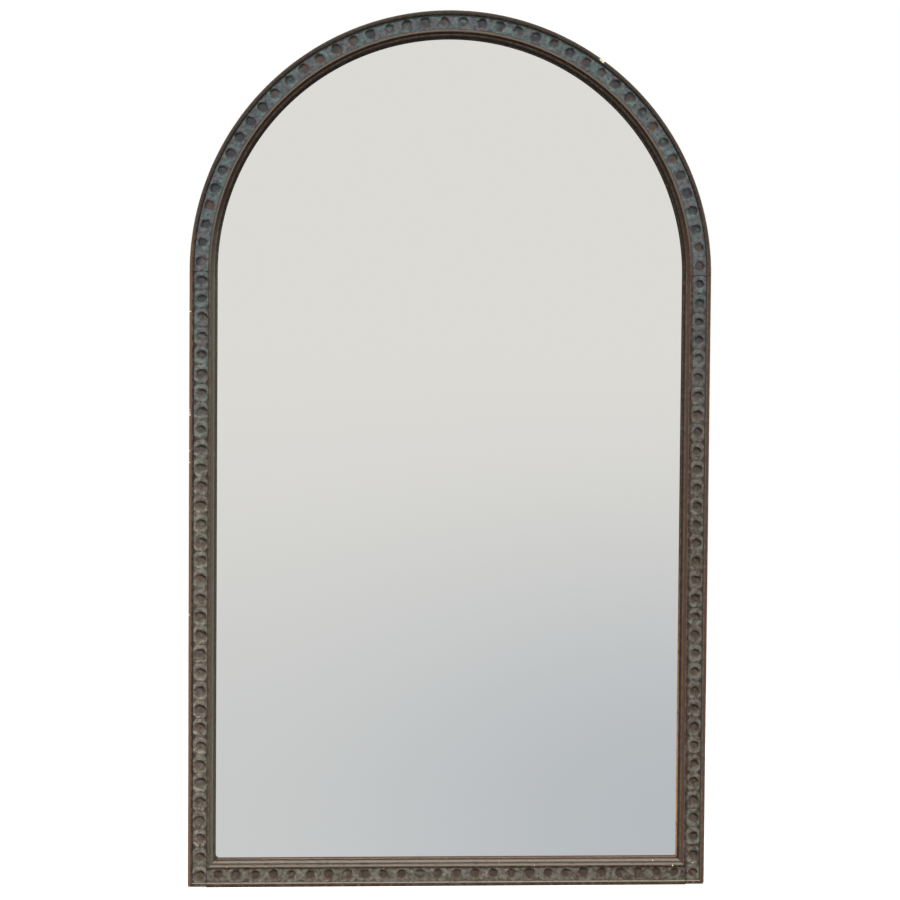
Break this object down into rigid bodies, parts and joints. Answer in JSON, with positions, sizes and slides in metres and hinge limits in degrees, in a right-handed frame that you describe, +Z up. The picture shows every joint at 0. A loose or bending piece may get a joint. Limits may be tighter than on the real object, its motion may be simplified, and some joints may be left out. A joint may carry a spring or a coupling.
{
  "type": "arched mirror",
  "caption": "Tall arched wall mirror in a painted wooden frame carved with sunk roundels, with a boarded back and swinging hanger rings.",
  "frame": {"origin": "middle of the frame's bottom edge, on the frame's back plane", "axes": "+X to the viewer's right, -Y towards the viewer, +Y towards the wall, +Z up"},
  "size_m": [0.936, 0.0486, 1.575],
  "materials": {
    "carved_paint": "matte",
    "inner_wood": "matte",
    "back_wood": "matte",
    "silvered_glass": "polished",
    "cut_iron": "matte",
    "hanger_steel": "satin"
  },
  "bodies": {
    "frame": {"left_stile": "carved_paint", "right_stile": "carved_paint", "bottom_rail": "carved_paint", "arch_left": "carved_paint", "arch_crown": "carved_paint", "arch_right": "carved_paint", "tongue_left_springing": "inner_wood", "tongue_left_haunch": "inner_wood", "tongue_right_haunch": "inner_wood", "tongue_right_springing": "inner_wood", "setting_blocks": "inner_wood", "glass_blocks": "inner_wood", "backboard_1": "back_wood", "backboard_2": "back_wood", "backboard_3": "back_wood", "backboard_4": "back_wood", "backboard_5": "back_wood", "mirror_glass": "silvered_glass", "backboard_nails": "cut_iron", "left_hanger_strap": "hanger_steel", "right_hanger_strap": "hanger_steel", "hanger_screws": "hanger_steel"},
    "left_ring": {"left_hanger_ring": "hanger_steel"},
    "right_ring": {"right_hanger_ring": "hanger_steel"}
  },
  "joints": [
    {"name": "left_ring_swing", "type": "hinge", "parent": "frame", "child": "left_ring", "pos_m": [-0.453, 0.0034, 1.037], "axis": [1, 0, 0], "range_deg": [0, 180]},
    {"name": "right_ring_swing", "type": "hinge", "parent": "frame", "child": "right_ring", "pos_m": [0.453, 0.0034, 1.037], "axis": [1, 0, 0], "range_deg": [0, 180]}
  ]
}
